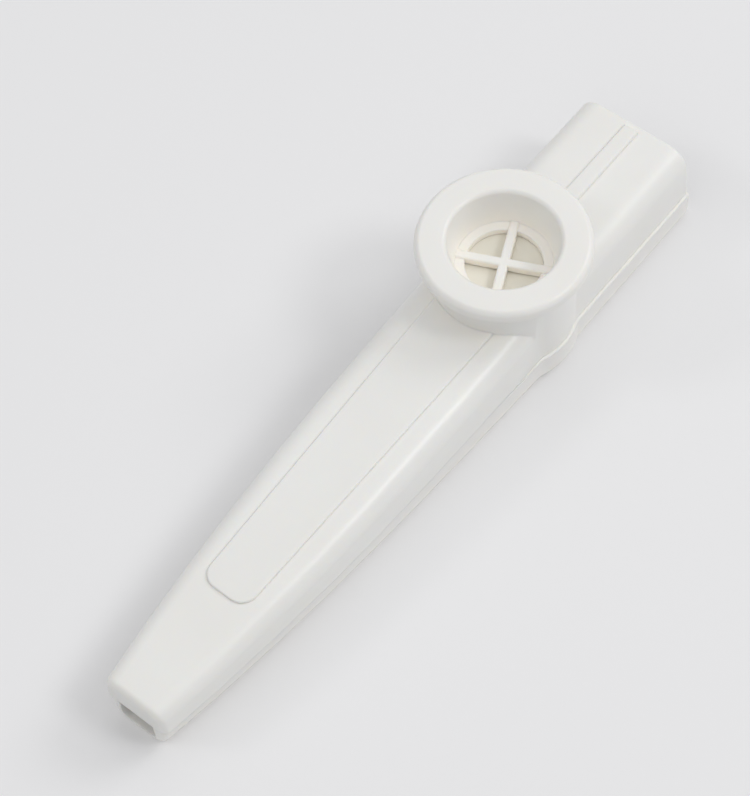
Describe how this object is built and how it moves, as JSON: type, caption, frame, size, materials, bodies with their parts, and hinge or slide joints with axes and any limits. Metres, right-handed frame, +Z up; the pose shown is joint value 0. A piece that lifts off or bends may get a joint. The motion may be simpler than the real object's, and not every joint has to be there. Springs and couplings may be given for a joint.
{
  "type": "kazoo",
  "caption": "Moulded plastic kazoo: tapered hollow body in lapped halves, with a round turret, a buzzing film on its ring and a flanged screw cap with a cross guard.",
  "frame": {"origin": "on the flat underside, below the middle of the body's length and width", "axes": "+X along the body from the narrow tip to the mouthpiece, +Z up along the turret, +Y across"},
  "size_m": [0.12, 0.0268, 0.0233],
  "materials": {
    "body_plastic": "glossy moulded polystyrene, warm white",
    "cap_plastic": "glossy moulded polystyrene, warm white",
    "ring_plastic": "matt card-like plastic washer, pale beige",
    "film": "thin translucent film, beige, slightly wrinkled"
  },
  "bodies": {
    "body": {"upper_shell": "body_plastic", "lower_shell": "body_plastic"},
    "membrane": {"membrane_ring": "ring_plastic", "membrane_film": "film"},
    "cap": {"screw_cap": "cap_plastic"}
  },
  "joints": [
    {"name": "cap_lift", "type": "slide", "parent": "body", "child": "membrane", "axis": [0, 0, 1], "range_m": [0, 0.0035]},
    {"name": "cap_turn", "type": "hinge", "parent": "membrane", "child": "cap", "pos_m": [0.026, 0, 0.0209], "axis": [0, 0, 1], "range_deg": [0, 630]}
  ],
  "couplings": [
    {"joint": "cap_lift", "follows": "cap_turn", "m_per_rad": 0.0003183}
  ]
}
